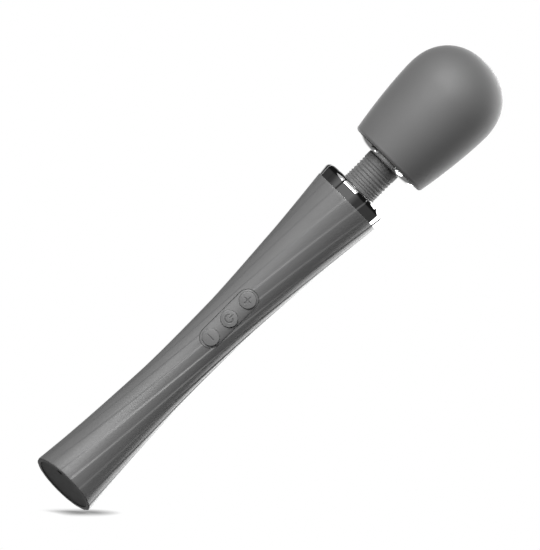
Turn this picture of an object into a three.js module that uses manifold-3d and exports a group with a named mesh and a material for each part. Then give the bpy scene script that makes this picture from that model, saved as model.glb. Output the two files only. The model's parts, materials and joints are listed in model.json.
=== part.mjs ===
// Handheld wand massager: a twisted, ridged handle that holds a battery and a control board,
// a flexible ribbed neck, and a soft round head with an eccentric-weight motor inside.
// Millimetres. +Z runs along the wand from its base to its head, and -Y is the button side.
// The origin is on the wand's axis, level with the lowest point of the slanted base.
import * as THREE from 'three';
import { mergeVertices } from 'three/addons/utils/BufferGeometryUtils.js';
import Module from 'manifold-3d';

const wasm = await Module();
wasm.setup();

// ---------- driving dimensions ----------
const gap = 0.3; // clearance between neighbouring pieces

// Handle: a hyperboloid of 16 ridges that climb it in a long right-handed twist
const waistRadius = 14.44;
const waistHeight = 109.7;
const flareSlope = 0.1375; // radius per millimetre, far from the waist
const ridges = 16;
const crestHalfAngle = THREE.MathUtils.degToRad(7.5);
const twistTurn = 1.525; // radians of twist for each radian of the arctangent law below
const twistLength = 209;
const twistStart = THREE.MathUtils.degToRad(-117);
const shellWall = 1.8;
const shellTop = 231.5;

// Slanted base, in a tilted frame whose local Z points into the handle
const baseHeight = 5.27; // of the slanted face, on the axis
const baseTilt = THREE.MathUtils.degToRad(14.17);
const capDepth = 0.9; // how far the cap sits inside the rim
const capThickness = 1.6;
const capSeat = capDepth + capThickness + gap; // the gasket's lower face
const gasketThickness = 0.7;
const lipThickness = 2;
const lipWall = 3.3;
const rimWall = 1.4;
const jackX = -6.2;
const jackY = -12.6;
const jackRadius = 2.6;
const portRadius = 1.75;
const chargeBoardRadius = 11.5;

// Chrome collar and neck
const collarBase = 231.8;
const collarTop = 241;
const collarShoulder = 2.5; // radius of the rounded edge at the top
const collarPlate = 2.5;
const collarBore = 16.9;
const collarSpigot = 18.5;
const spigotBase = 225.6;
const neckRadius = 10.95;
const neckBore = 8.6;
const neckTop = 261.35;
const neckSplit = 252.2; // between the ridges that follow each of the two bends
const neckMiddleRidge = 251;
const grooveDepth = 0.65;
const neckFlange = 13;
const cupRadius = 8.3;
const cupBore = 7.4;
const springRadius = 6.1; // of the coil's middle
const springWire = 0.7;
const clampFlange = 16.2;
const clampScrewCircle = 14.6;

// Head: a slowly swelling side under a superelliptic dome
const headBase = 264.4;
const headWidest = 312;
const headTop = 342.5;
const headRadius = 30.2;
const headSwell = 0.01064;
const headSwellPower = 1.6;
const domePower = 2.2;
const coverThickness = 2.6;
const coreThickness = 1.8;
const coverLip = 21.4;
const coverEdge = 2.1;
const saucerRadius = 21.1;
const saucerDepth = 3.05;
const saucerTop = 265;
const saucerRim = 271.7;

// Motor and its weight
const motorRadius = 12;
const motorBase = 274;
const motorTop = 304;
const shaftRadius = 1.15;
const weightRadius = 13;

// Buttons: three round keys in a pill-shaped pad
const buttonRadius = 5;
const buttonPitch = 14.75;
const buttonMiddle = 137.75;
const pillRadius = 6.4;
const buttonRise = 0.45;
const padRecess = 0.35;
const padFlange = 1.3;
const markWidth = 5.1;
const markStroke = 0.8;
const markDepth = 0.35;
const stemEnd = -9.6;

// Inside the handle
const chassisOuter = 12.05;
const chassisInner = 10.9;
const chassisBase = 22;
const chassisTop = 214;
const windowBase = 106;
const windowTop = 174;
const bossHeights = [26, 103, 186, 207];
const cellRadius = 9.25;
const cellBase = 32;
const cellTop = 97;
const boardFront = -5;
const boardBack = -4;
const boardBase = 108;
const boardTop = 172;
const boardWidth = 16;
const boardScrewHeights = [111.5, 168.5];

// ---------- colours and finishes ----------
const finish = {
  handle: { color: 0x626366, roughness: 0.25, metalness: 0 },
  silicone: { color: 0x606163, roughness: 0.6, metalness: 0 },
  base: { color: 0x3c3c3e, roughness: 0.5, metalness: 0 },
  chrome: { color: 0xd8d9db, roughness: 0.05, metalness: 1 },
  nylon: { color: 0xc9c8c2, roughness: 0.6, metalness: 0 },
  steel: { color: 0xa9abad, roughness: 0.35, metalness: 1 },
  brass: { color: 0xb08d4c, roughness: 0.35, metalness: 1 },
  rubber: { color: 0x1d1d1e, roughness: 0.85, metalness: 0 },
  board: { color: 0x1f5a3a, roughness: 0.5, metalness: 0 },
  black: { color: 0x202022, roughness: 0.55, metalness: 0 },
  cell: { color: 0x2f6ea8, roughness: 0.4, metalness: 0 },
};

// ---------- solids from three.js geometry ----------
function signedVolume(position, index) {
  const a = new THREE.Vector3();
  const b = new THREE.Vector3();
  const c = new THREE.Vector3();
  let total = 0;
  for (let i = 0; i < index.length; i += 3) {
    a.fromBufferAttribute(position, index[i]);
    b.fromBufferAttribute(position, index[i + 1]);
    c.fromBufferAttribute(position, index[i + 2]);
    total += a.dot(b.cross(c));
  }
  return total;
}

function solid(geometry) {
  const bare = geometry.clone();
  bare.deleteAttribute('normal');
  bare.deleteAttribute('uv');
  const merged = mergeVertices(bare, 1e-4);
  const kept = [];
  const index = merged.index.array;
  for (let i = 0; i < index.length; i += 3) {
    const [a, b, c] = [index[i], index[i + 1], index[i + 2]];
    if (a !== b && b !== c && c !== a) kept.push(a, b, c);
  }
  if (signedVolume(merged.attributes.position, kept) < 0) kept.reverse();
  return new wasm.Manifold(new wasm.Mesh({
    numProp: 3,
    vertProperties: new Float32Array(merged.attributes.position.array),
    triVerts: new Uint32Array(kept),
  }));
}

function geometryOf(manifold) {
  const mesh = manifold.getMesh();
  const geometry = new THREE.BufferGeometry();
  geometry.setAttribute('position', new THREE.BufferAttribute(new Float32Array(mesh.vertProperties), 3));
  geometry.setIndex(new THREE.BufferAttribute(new Uint32Array(mesh.triVerts), 1));
  geometry.computeVertexNormals();
  return geometry;
}

const union = (...solids) => solids.reduce((all, next) => all.add(next));
const cut = (from, ...tools) => tools.reduce((left, tool) => left.subtract(tool), from);

// A solid turned about Z from a closed outline of [radius, height] pairs
function turned(outline, segments = 24) {
  const points = outline.map(([radius, height]) => new THREE.Vector2(radius, height));
  return new THREE.LatheGeometry(points, segments).rotateX(Math.PI / 2);
}

const rod = (radius, low, high, segments = 16) =>
  turned([[0, low], [radius, low], [radius, high], [0, high]], segments);

const ring = (inner, outer, low, high, segments = 24) =>
  turned([[inner, low], [outer, low], [outer, high], [inner, high], [inner, low]], segments);

function block(x0, x1, y0, y1, z0, z1) {
  const box = new THREE.BoxGeometry(x1 - x0, y1 - y0, z1 - z0);
  return box.translate((x0 + x1) / 2, (y0 + y1) / 2, (z0 + z1) / 2);
}

// Turns a shape drawn upright (x right, y up, z out) to face the button side
const faceFront = (geometry) => geometry.rotateX(Math.PI / 2);

// A round rod along Y, from depth y0 to y1, at a place on the front view
function rodAlongY(radius, y0, y1, x, z, segments = 12) {
  return faceFront(rod(radius, -y1, -y0, segments)).translate(x, 0, z);
}

const tiltBase = (geometry) => geometry.rotateX(-baseTilt).translate(0, 0, baseHeight);

// ---------- the object's own curves ----------
const handleRadius = (z) => Math.hypot(waistRadius, flareSlope * (z - waistHeight));
const facetShare = Math.cos(Math.PI / ridges); // flat middle of a facet against its ridge
const facetRadius = (z) => handleRadius(z) * facetShare;
const ridgeTwist = (z) => twistStart + twistTurn * Math.atan((z - waistHeight) / twistLength);

// A solid that follows the handle's round inner form at an inset from its facets
function handleCore(inset, low, high, steps = 10, segments = 28) {
  const outline = [[0, low]];
  for (let i = 0; i <= steps; i++) {
    const z = low + ((high - low) * i) / steps;
    outline.push([facetRadius(z) - inset, z]);
  }
  outline.push([0, high]);
  return solid(turned(outline, segments));
}

// The ridged outline, extruded along the axis, then twisted and flared
function ridgedForm(low, high, steps) {
  const shape = new THREE.Shape();
  for (let i = 0; i < ridges; i++) {
    for (const side of [-1, 0, 1]) {
      const angle = ((i * 2 * Math.PI) / ridges) + side * crestHalfAngle;
      const radius = facetShare / Math.cos(Math.PI / ridges - Math.abs(side) * crestHalfAngle);
      const point = [radius * Math.cos(angle), radius * Math.sin(angle)];
      if (i === 0 && side === -1) shape.moveTo(...point);
      else shape.lineTo(...point);
    }
  }
  const depth = high - low;
  const geometry = new THREE.ExtrudeGeometry(shape, { depth, steps, bevelEnabled: false });
  const position = geometry.attributes.position;
  const vertex = new THREE.Vector3();
  const axis = new THREE.Vector3(0, 0, 1);
  for (let i = 0; i < position.count; i++) {
    vertex.fromBufferAttribute(position, i);
    const z = low + vertex.z;
    vertex.setZ(0).multiplyScalar(handleRadius(z)).applyAxisAngle(axis, ridgeTwist(z));
    position.setXYZ(i, vertex.x, vertex.y, z);
  }
  return solid(geometry);
}

// The head's outline from its base to its crown, at an inset from the outside
function headOutline(inset, low, sideSteps, domeSteps) {
  const points = [];
  for (let i = 0; i < sideSteps; i++) {
    const z = low + ((headWidest - low) * i) / sideSteps;
    points.push([headRadius - inset - headSwell * (headWidest - z) ** headSwellPower, z]);
  }
  const width = headRadius - inset;
  const height = headTop - headWidest - inset;
  for (let i = 0; i <= domeSteps; i++) {
    const angle = (Math.PI / 2) * (i / domeSteps);
    const across = Math.max(0, Math.cos(angle)) ** (2 / domePower);
    const up = Math.sin(angle) ** (2 / domePower);
    points.push([i === domeSteps ? 0 : width * across, headWidest + height * up]);
  }
  return points;
}

// Ridge heights on the neck: the pitch tightens away from the middle ridge
const neckRidge = (n) => neckMiddleRidge + 2.5 * n - 0.14 * n * Math.abs(n);

// A ribbed length of the neck's skin, between two heights, with a flange at its far end
function neckSkin(low, high, flangeLow, flangeHigh) {
  const outline = [[neckRadius, low]];
  for (let n = -5; n <= 3; n++) {
    const crest = neckRidge(n);
    const groove = (crest + neckRidge(n + 1)) / 2;
    if (crest > low + 0.2 && crest < high - 0.2) outline.push([neckRadius, crest]);
    const depth = grooveDepth * (1 - 0.12 * Math.abs(n + 0.5));
    if (n < 3 && groove > low + 0.2 && groove < high - 0.2) {
      outline.push([neckRadius - depth, groove]);
    }
  }
  outline.push([neckRadius, high], [neckBore, high], [neckBore, low], [neckRadius, low]);
  return union(solid(turned(outline, 24)), solid(ring(neckBore, neckFlange, flangeLow, flangeHigh, 24)));
}

// Part of a coil spring about the axis
class Coil extends THREE.Curve {
  constructor(low, high, turns, phase) {
    super();
    Object.assign(this, { low, high, turns, phase });
  }

  getPoint(t, target = new THREE.Vector3()) {
    const angle = this.phase + t * this.turns * 2 * Math.PI;
    const z = THREE.MathUtils.lerp(this.low, this.high, t);
    return target.set(springRadius * Math.cos(angle), springRadius * Math.sin(angle), z);
  }
}

function disc(radius, sides) {
  const points = [];
  for (let i = 0; i < sides; i++) {
    const angle = (i * 2 * Math.PI) / sides;
    points.push(new THREE.Vector2(radius * Math.cos(angle), radius * Math.sin(angle)));
  }
  return new THREE.Shape(points);
}

const tube = (path, radius, steps, sides = 6) =>
  new THREE.ExtrudeGeometry(disc(radius, sides), { steps, extrudePath: path, bevelEnabled: false });

const wireAlong = (points, radius, steps) =>
  tube(new THREE.CatmullRomCurve3(points.map((p) => new THREE.Vector3(...p))), radius, steps);

// A pill on the front view: two half circles of this radius, centred on the end buttons
function pill(radius, outFrom, outTo) {
  const shape = new THREE.Shape();
  shape.absarc(0, buttonPitch, radius, 0, Math.PI, false);
  shape.absarc(0, -buttonPitch, radius, Math.PI, 2 * Math.PI, false);
  const options = { depth: outTo - outFrom, bevelEnabled: false, curveSegments: 8 };
  const geometry = new THREE.ExtrudeGeometry(shape, options).translate(0, 0, outFrom);
  return solid(faceFront(geometry).translate(0, 0, buttonMiddle));
}

// ---------- the assembly ----------
const group = new THREE.Group();

function addPart(name, look, shape) {
  const geometry = shape instanceof THREE.BufferGeometry ? geometryOf(solid(shape)) : geometryOf(shape);
  const mesh = new THREE.Mesh(geometry, new THREE.MeshStandardMaterial(finish[look]));
  mesh.name = name;
  group.add(mesh);
}

// A screw along Z: its head starts at headEnd and its thread ends at threadEnd
function addScrewZ(name, x, y, headEnd, neck, threadEnd, headSize, threadSize) {
  const outline = [[0, headEnd], [headSize, headEnd], [headSize, neck], [threadSize, neck],
    [threadSize, threadEnd], [0, threadEnd]];
  addPart(name, 'steel', turned(outline, 8).translate(x, y, 0));
}

function addScrewY(name, z, headEnd, neck, threadEnd, headSize, threadSize) {
  const outline = [[0, -headEnd], [headSize, -headEnd], [headSize, -neck], [threadSize, -neck],
    [threadSize, -threadEnd], [0, -threadEnd]];
  addPart(name, 'steel', faceFront(turned(outline, 8)).translate(0, 0, z));
}

// --- handle shell ---
const deep = 150; // past every surface, even where a tilted block leans away
const slab = (low, high) => solid(tiltBase(block(-deep, deep, -deep, deep, low, high)));
const jackRoom = (radius, low, high) =>
  solid(tiltBase(rod(radius, low, high).translate(jackX, jackY, 0)));

const lipBase = capSeat + gasketThickness + gap;
const lipTop = lipBase + lipThickness;
const shellVoid = union(
  handleCore(rimWall, -6, 30, 2).intersect(slab(-20, lipBase)),
  handleCore(lipWall, -6, 30, 2).intersect(slab(lipBase - 0.05, lipTop + 0.05)),
  handleCore(shellWall, 1, shellTop + 1, 10).intersect(slab(lipTop, 400)),
);
const handleShell = cut(
  ridgedForm(-3, shellTop, 20),
  slab(-40, 0),
  shellVoid,
  pill(pillRadius, 5, 30),
  jackRoom(jackRadius + gap, lipBase - 0.2, lipTop + 1),
);
addPart('handle_shell', 'handle', handleShell);

// --- slanted base ---
const capBody = handleCore(rimWall + gap, -6, 30, 2).intersect(slab(capDepth, capDepth + capThickness));
addPart('bottom_cap', 'base', cut(capBody, jackRoom(portRadius, 0, 5)));

const gasket = handleCore(rimWall + gap, -6, 30, 2).intersect(slab(capSeat, capSeat + gasketThickness));
const gasketHole = handleCore(lipWall, -6, 30, 2);
addPart('cap_gasket', 'rubber', cut(gasket, gasketHole, jackRoom(jackRadius + gap, 0, 8)));

const jackBase = capDepth + capThickness + gap;
const jackTop = 12;
addPart('charge_jack', 'black', cut(
  jackRoom(jackRadius, jackBase, jackTop),
  jackRoom(1.4, jackBase - 1, jackTop - 2),
));
const chargeBoardTop = jackTop + gap + 1;
const chargeBoard = rod(chargeBoardRadius, jackTop + gap, chargeBoardTop).translate(0, -4, 0);
addPart('charge_board', 'board', tiltBase(chargeBoard));

// --- chrome collar ---
function shoulderForm() {
  const edge = handleRadius(collarTop - collarShoulder) - 0.2;
  const outline = [[0, collarBase - 1], [edge + 2, collarBase - 1], [edge, collarTop - collarShoulder]];
  for (let i = 1; i <= 4; i++) {
    const angle = (Math.PI / 2) * (i / 4);
    outline.push([
      edge - collarShoulder * (1 - Math.cos(angle)),
      collarTop - collarShoulder * (1 - Math.sin(angle)),
    ]);
  }
  outline.push([0, collarTop]);
  return solid(turned(outline, 32));
}
const circleOfThree = [0, 1, 2].map((i) => {
  const angle = Math.PI / 2 + (i * 2 * Math.PI) / 3;
  return [clampScrewCircle * Math.cos(angle), clampScrewCircle * Math.sin(angle)];
});
const holesAt = (radius, low, high) =>
  circleOfThree.map(([x, y]) => solid(rod(radius, low, high, 8).translate(x, y, 0)));

const collarPlateBase = collarTop - collarPlate;
const collar = cut(
  union(
    ridgedForm(collarBase, collarTop + 1, 2).intersect(shoulderForm()),
    solid(rod(collarSpigot, spigotBase, collarBase + 0.5, 28)),
  ),
  solid(rod(collarBore, spigotBase - 1, collarPlateBase, 28)),
  solid(rod(neckRadius + gap, collarPlateBase - 1, collarTop + 1, 24)),
  ...holesAt(1.25, collarPlateBase - 1, collarPlateBase + 1.6),
);
addPart('chrome_collar', 'chrome', collar);

// --- flexible neck: a coil spring under a ribbed skin, held by a socket and a clamp ---
const socketBase = 234.2;
const socketTop = 236.6;
const socketRim = socketTop + 4;
addPart('neck_socket', 'nylon', cut(
  union(
    solid(turned([[4.6, socketBase], [clampFlange, socketBase], [clampFlange, socketTop],
      [cupRadius, socketTop], [cupRadius, socketRim], [cupBore, socketRim],
      [cupBore, socketBase + 1.2], [4.6, socketBase + 1.2], [4.6, socketBase]])),
  ),
  ...holesAt(1.25, socketBase - 1, socketTop + 1),
));
circleOfThree.forEach(([x, y], i) => {
  addScrewZ(`socket_screw_${i + 1}`, x, y, socketBase - 1.9, socketBase - gap, 239.8, 1.9, 0.95);
});

const skinFootTop = collarPlateBase - gap;
const lowerSkin = neckSkin(socketTop + gap, neckSplit - gap / 2, socketTop + gap, skinFootTop);
addPart('neck_sleeve_lower', 'silicone', lowerSkin);
const upperFlange = saucerTop + gap;
const clampBase = upperFlange + 1.3 + gap;
addPart('neck_sleeve_upper', 'silicone', neckSkin(
  neckSplit + gap / 2, clampBase - gap, upperFlange, clampBase - gap,
));

const lowerSpring = new Coil(socketBase + 2.3, neckSplit - 1, 4, 0);
addPart('neck_spring_lower', 'steel', tube(lowerSpring, springWire, 40, 5));
const upperSpring = new Coil(neckSplit + 1, clampBase + 0.1, 4, 0);
addPart('neck_spring_upper', 'steel', tube(upperSpring, springWire, 40, 5));
addPart('neck_ring', 'nylon', ring(7.3, 8.2, neckSplit - 1.5, neckSplit + 1.5));

const clampTop = clampBase + 2.4;
addPart('neck_clamp', 'nylon', cut(
  solid(turned([[4.6, clampTop - 1.2], [cupBore, clampTop - 1.2], [cupBore, clampBase - 4],
    [cupRadius, clampBase - 4], [cupRadius, clampBase], [clampFlange, clampBase],
    [clampFlange, clampTop], [4.6, clampTop], [4.6, clampTop - 1.2]])),
  ...holesAt(1.25, clampBase - 1, clampTop + 1),
));
circleOfThree.forEach(([x, y], i) => {
  addScrewZ(`clamp_screw_${i + 1}`, x, y, clampTop + 1.9, clampTop + gap, 263.9, 1.9, 0.95);
});

// --- head: chrome saucer, rigid core and soft cover ---
function saucer() {
  const outline = [];
  const mouth = neckRadius + gap;
  const steps = 4;
  for (let i = 0; i <= steps; i++) {
    const radius = mouth + ((saucerRadius - mouth) * i) / steps;
    const share = (saucerRadius ** 2 - radius ** 2) / (saucerRadius ** 2 - mouth ** 2);
    outline.push([radius, headBase - saucerDepth * share]);
  }
  outline.push([saucerRadius, saucerTop], [19.6, saucerTop + 0.6], [19.6, saucerRim],
    [17, saucerRim], [17, saucerTop], [mouth, saucerTop], outline[0]);
  return cut(solid(turned(outline, 36)), ...holesAt(1.25, 263.6, saucerTop + 1));
}
addPart('head_base', 'chrome', saucer());

function headCover() {
  const sideFoot = headBase + coverEdge;
  const outer = headOutline(0, sideFoot, 5, 8);
  const outline = [[coverLip, headBase]];
  const edgeCentre = outer[0][0] - coverEdge;
  for (let i = 0; i < 3; i++) {
    const angle = (Math.PI / 2) * (i / 3);
    outline.push([edgeCentre + coverEdge * Math.sin(angle), sideFoot - coverEdge * Math.cos(angle)]);
  }
  const inner = headOutline(coverThickness, headBase + 2.2, 3, 5).reverse();
  outline.push(...outer, ...inner, [coverLip, headBase + 2.2], [coverLip, headBase]);
  return turned(outline, 36);
}
addPart('head_cover', 'silicone', headCover());

const coreInset = coverThickness + gap;
const coreOutside = headOutline(coreInset, headBase + 2.5, 3, 5);
const coreInside = headOutline(coreInset + coreThickness, headBase + 2.5, 3, 5).reverse();
addPart('head_core', 'nylon', turned([...coreOutside, ...coreInside, coreOutside[0]], 28));

// --- motor ---
const cradleBase = saucerRim + gap;
addPart('motor_cradle', 'nylon', turned([[14, cradleBase], [19.4, cradleBase], [19.4, cradleBase + 2],
  [15.6, cradleBase + 2], [15.6, motorTop - 2], [14, motorTop - 2], [14, cradleBase]]));
addPart('motor_damper', 'rubber', ring(motorRadius + gap, 13.7, motorBase - 1, motorTop - 1));
addPart('motor_can', 'steel', turned([[motorRadius - 0.8, motorBase], [motorRadius, motorBase],
  [motorRadius, motorTop], [2.9, motorTop], [2.9, motorTop - 1.2],
  [motorRadius - 0.8, motorTop - 1.2], [motorRadius - 0.8, motorBase]]));
addPart('motor_magnet', 'black', ring(9.4, 10.9, motorBase + 3.5, motorTop - 4));
addPart('motor_end_cap', 'black', turned([[1.45, motorBase - 2.4], [3.4, motorBase - 2.4],
  [3.4, motorBase + 0.3], [10.9, motorBase + 0.3], [10.9, motorBase + 2.3],
  [1.45, motorBase + 2.3], [1.45, motorBase - 2.4]]));
addPart('motor_bush', 'brass', ring(shaftRadius + gap, 2.6, motorTop - 1.8, motorTop + 1.8, 16));

addPart('motor_shaft', 'steel', rod(shaftRadius, motorBase - 3.2, motorTop + 20));
function armature() {
  const shape = new THREE.Shape();
  const poles = 5;
  for (let i = 0; i < poles; i++) {
    const middle = (i * 2 * Math.PI) / poles;
    for (const [turn, radius] of [[-0.62, 5], [-0.5, 8.6], [0, 8.9], [0.5, 8.6], [0.62, 5]]) {
      const point = [radius * Math.cos(middle + turn), radius * Math.sin(middle + turn)];
      if (i === 0 && turn === -0.62) shape.moveTo(...point);
      else shape.lineTo(...point);
    }
  }
  const geometry = new THREE.ExtrudeGeometry(shape, { depth: 20, bevelEnabled: false });
  return cut(
    solid(geometry.translate(0, 0, motorBase + 5)),
    solid(rod(shaftRadius + gap, motorBase, motorTop)),
  );
}
addPart('motor_armature', 'brass', armature());
function eccentricWeight() {
  const shape = new THREE.Shape();
  shape.absarc(0, 0, weightRadius, 0, Math.PI, false);
  shape.absarc(0, 0, 3.8, Math.PI, 2 * Math.PI, false);
  const geometry = new THREE.ExtrudeGeometry(shape, { depth: 12, bevelEnabled: false, curveSegments: 12 });
  const low = motorTop + 4;
  return cut(solid(geometry.translate(0, 0, low)), solid(rod(shaftRadius + gap, low - 1, low + 13)));
}
addPart('eccentric_weight', 'brass', eccentricWeight());

// --- chassis halves with the battery between them ---
function chassisHalf(side) {
  // side is -1 for the front half and 1 for the back half
  const half = solid(side < 0
    ? block(-deep, deep, -deep, -gap / 2, 0, 300)
    : block(-deep, deep, gap / 2, deep, 0, 300));
  const body = union(
    solid(ring(chassisInner, chassisOuter, chassisBase, chassisTop, 28)),
    solid(ring(chassisInner, 15.6, chassisBase, chassisBase + 2, 28)),
    solid(ring(chassisInner, 17.2, chassisTop - 2.5, chassisTop, 28)),
    ...bossHeights.map((z) => solid(rodAlongY(3, -11.5, 11.5, 0, z))),
  );
  const screwHoles = bossHeights.map((z) => solid(rodAlongY(1.4, -9, 8.5, 0, z)));
  const headHoles = bossHeights.map((z) => solid(rodAlongY(2.5, -deep, -8.9, 0, z)));
  return cut(body.intersect(half), ...screwHoles, ...headHoles);
}
const windowCut = solid(block(-8.6, 8.6, -deep, 0, windowBase, windowTop));
addPart('chassis_front', 'black', cut(chassisHalf(-1), windowCut));
const posts = boardScrewHeights.map((z) => solid(rodAlongY(2.6, boardBack + gap, 11.4, 0, z)));
const postHoles = boardScrewHeights.map((z) => solid(rodAlongY(1.1, boardBack, 2.3, 0, z)));
addPart('chassis_back', 'black', cut(union(chassisHalf(1), ...posts), ...postHoles));
bossHeights.forEach((z, i) => addScrewY(`chassis_screw_${i + 1}`, z, -10.4, -9.3 + gap, 8.2, 2.1, 1.1));

addPart('battery_cell', 'cell', turned([[0, cellBase], [cellRadius, cellBase], [cellRadius, cellTop],
  [2.8, cellTop], [2.8, cellTop + 1], [0, cellTop + 1]]));
addPart('battery_tab_top', 'steel', block(-4, 4, -3, 3, cellTop + 1.3, cellTop + 1.7));
addPart('battery_tab_bottom', 'steel', block(-4, 4, -3, 3, cellBase - 0.7, cellBase - gap));

// --- control board, its switches and its leads ---
const boardHoles = boardScrewHeights.map((z) => solid(rodAlongY(1.1, boardFront - 1, boardBack + 1, 0, z)));
const boardBlank = block(-boardWidth / 2, boardWidth / 2, boardFront, boardBack, boardBase, boardTop);
addPart('control_board', 'board', cut(solid(boardBlank), ...boardHoles));
boardScrewHeights.forEach((z, i) => {
  addScrewY(`board_screw_${i + 1}`, z, boardFront - 1.6, boardFront - gap, 2, 1.7, 0.8);
});
addPart('control_chip', 'black', block(-3.5, 3.5, boardBack + gap, boardBack + 1.5, 128, 135));
const plug = { x: 4.6, y: -6.6, low: 160, high: 166 };
addPart('cable_plug', 'nylon', block(plug.x - 2.4, plug.x + 2.4, -7.9, boardFront - gap, plug.low, plug.high));
addPart('motor_cable_lower', 'black', wireAlong([
  [plug.x, plug.y, plug.high + gap], [5.2, -6.2, 172], [5.7, -4.5, 180], [5.7, -2, 192], [5.7, 0, 206],
  [4, 0, 217], [1, 0, 227], [0, 0, 234], [0, 0, 243], [0, 0, neckSplit - gap / 2],
], 1.1, 22));
addPart('motor_cable_upper', 'black', wireAlong([
  [0, 0, neckSplit + gap / 2], [0, 0, 258], [0.4, 0, 263], [2.3, 0, 268], [5, 0, 271.2],
  [6.3, 0, 272.8], [6.5, 0, motorBase],
], 1.1, 12));
addPart('charge_lead', 'rubber', wireAlong([
  [7.08, 7.08, 18.4], [7.08, 7.08, 50], [7.08, 7.08, 80], [7.08, 7.08, 99], [7, 6.2, 105],
  [6.8, 3.2, 110], [6.5, -0.8, 113], [6.4, boardBack + gap, 114],
], 0.45, 18));

// --- button pad and buttons ---
const padLow = buttonMiddle - 25;
const padHigh = buttonMiddle + 25;
const frontForm = (inset) => handleCore(inset, padLow, padHigh, 4, 36);
const buttonHeights = { minus: -buttonPitch, power: 0, plus: buttonPitch };
const flangeInset = shellWall + gap;
const padInset = flangeInset + padFlange;
const padFace = cut(pill(pillRadius - gap, 5, 30).intersect(frontForm(padRecess)), frontForm(padInset));
const padBack = cut(pill(7.7, 5, 30).intersect(frontForm(flangeInset)), frontForm(padInset));
const padHoles = Object.values(buttonHeights).map((rise) =>
  solid(rodAlongY(buttonRadius + gap, -30, -5, 0, buttonMiddle + rise, 24)));
addPart('button_pad', 'handle', cut(union(padFace, padBack), ...padHoles));

const bar = (width, height, x = 0, y = 0) => {
  const shape = new THREE.Shape();
  shape.moveTo(x - width / 2, y - height / 2);
  shape.lineTo(x + width / 2, y - height / 2);
  shape.lineTo(x + width / 2, y + height / 2);
  shape.lineTo(x - width / 2, y + height / 2);
  return shape;
};

function openRing() {
  const outer = markWidth / 2 + markStroke / 2;
  const inner = outer - markStroke;
  const start = THREE.MathUtils.degToRad(125);
  const end = THREE.MathUtils.degToRad(415);
  const shape = new THREE.Shape();
  shape.absarc(0, 0, outer, start, end, false);
  shape.absarc(0, 0, inner, end, start, true);
  return shape;
}

const marks = {
  minus: [bar(markWidth, markStroke)],
  power: [openRing(), bar(markStroke, 2.7, 0, 1.75)],
  plus: [bar(markWidth, markStroke), bar(markStroke, markWidth)],
};

function button(name) {
  const z = buttonMiddle + buttonHeights[name];
  const post = (radius, segments = 24) => solid(rodAlongY(radius, -30, stemEnd, 0, z, segments));
  const face = frontForm(-buttonRise);
  const key = post(buttonRadius).intersect(face);
  const flange = post(6.3).intersect(frontForm(padInset + gap));
  const hollow = cut(frontForm(padInset + gap + 1), post(1.6, 12));
  const carved = marks[name].map((shape) => {
    const options = { depth: 25, bevelEnabled: false, curveSegments: 10 };
    const prism = new THREE.ExtrudeGeometry(shape, options).translate(0, 0, 5);
    return solid(faceFront(prism).translate(0, 0, z));
  });
  const engraving = cut(union(...carved), frontForm(markDepth - buttonRise));
  return cut(union(key, flange), hollow, engraving);
}

for (const name of Object.keys(buttonHeights)) {
  const z = buttonMiddle + buttonHeights[name];
  addPart(`${name}_button`, 'handle', button(name));
  const plunger = rodAlongY(1.6, -9.3, -7.7, 0, z);
  addPart(`${name}_switch_plunger`, 'black', plunger);
  const base = solid(block(-3, 3, -8.2, boardFront - gap, z - 3, z + 3));
  addPart(`${name}_switch`, 'steel', cut(base, solid(rodAlongY(1.9, -9, -6.8, 0, z))));
}

export default group;
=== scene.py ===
import json
import math

import bmesh
import bpy
import numpy as np
from mathutils import Matrix, Vector
from mathutils.geometry import delaunay_2d_cdt


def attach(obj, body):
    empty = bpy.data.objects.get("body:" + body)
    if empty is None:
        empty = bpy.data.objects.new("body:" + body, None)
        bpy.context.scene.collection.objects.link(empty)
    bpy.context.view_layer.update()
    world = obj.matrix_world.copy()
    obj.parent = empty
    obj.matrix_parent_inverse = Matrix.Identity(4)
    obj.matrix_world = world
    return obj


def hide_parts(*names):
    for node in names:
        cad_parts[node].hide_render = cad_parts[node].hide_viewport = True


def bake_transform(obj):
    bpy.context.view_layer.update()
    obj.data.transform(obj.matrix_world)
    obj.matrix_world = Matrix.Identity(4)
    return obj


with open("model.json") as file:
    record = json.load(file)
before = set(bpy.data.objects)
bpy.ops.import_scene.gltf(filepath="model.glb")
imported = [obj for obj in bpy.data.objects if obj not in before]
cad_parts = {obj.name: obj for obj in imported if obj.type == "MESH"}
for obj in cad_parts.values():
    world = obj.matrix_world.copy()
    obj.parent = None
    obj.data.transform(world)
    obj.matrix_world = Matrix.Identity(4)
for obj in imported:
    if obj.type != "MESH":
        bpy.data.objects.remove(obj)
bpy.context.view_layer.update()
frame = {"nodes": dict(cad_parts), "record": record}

# Handheld wand massager. Helpers work in millimetres; meshes and the scene are in metres.
# +Z runs from the base to the head, and -Y is the button side.
MM = 0.001

# ---------- dimensions of the CAD part ----------
RIDGES = 16
WAIST_RADIUS, WAIST_HEIGHT, FLARE = 14.44, 109.7, 0.1375
TWIST_START, TWIST_TURN, TWIST_LENGTH = math.radians(-117), 1.525, 209
BASE_HEIGHT, BASE_TILT = 5.27, math.radians(14.17)
SHELL_WALL, LEDGE_WALL, CAP_THICKNESS = 1.8, 3.3, 1.6
PORT_X, PORT_Y, PORT_RADIUS = -6.2, -12.6, 1.75
COLLAR_BASE, COLLAR_TOP, COLLAR_PLATE = 231.8, 241, 2.5
COLLAR_BORE, COLLAR_SPIGOT, SPIGOT_BASE, GAP = 16.9, 18.5, 225.6, 0.3
NECK_RADIUS, NECK_BORE, NECK_FLANGE = 10.95, 8.6, 13
NECK_BASE, NECK_SPLIT, NECK_TOP, NECK_END, FLANGE_HEIGHT = 236.9, 252.2, 261.35, 266.6, 1.3
MIDDLE_RIDGE, RIDGE_PITCH, RIDGE_CLOSING = 251, 2.5, 0.14
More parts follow.
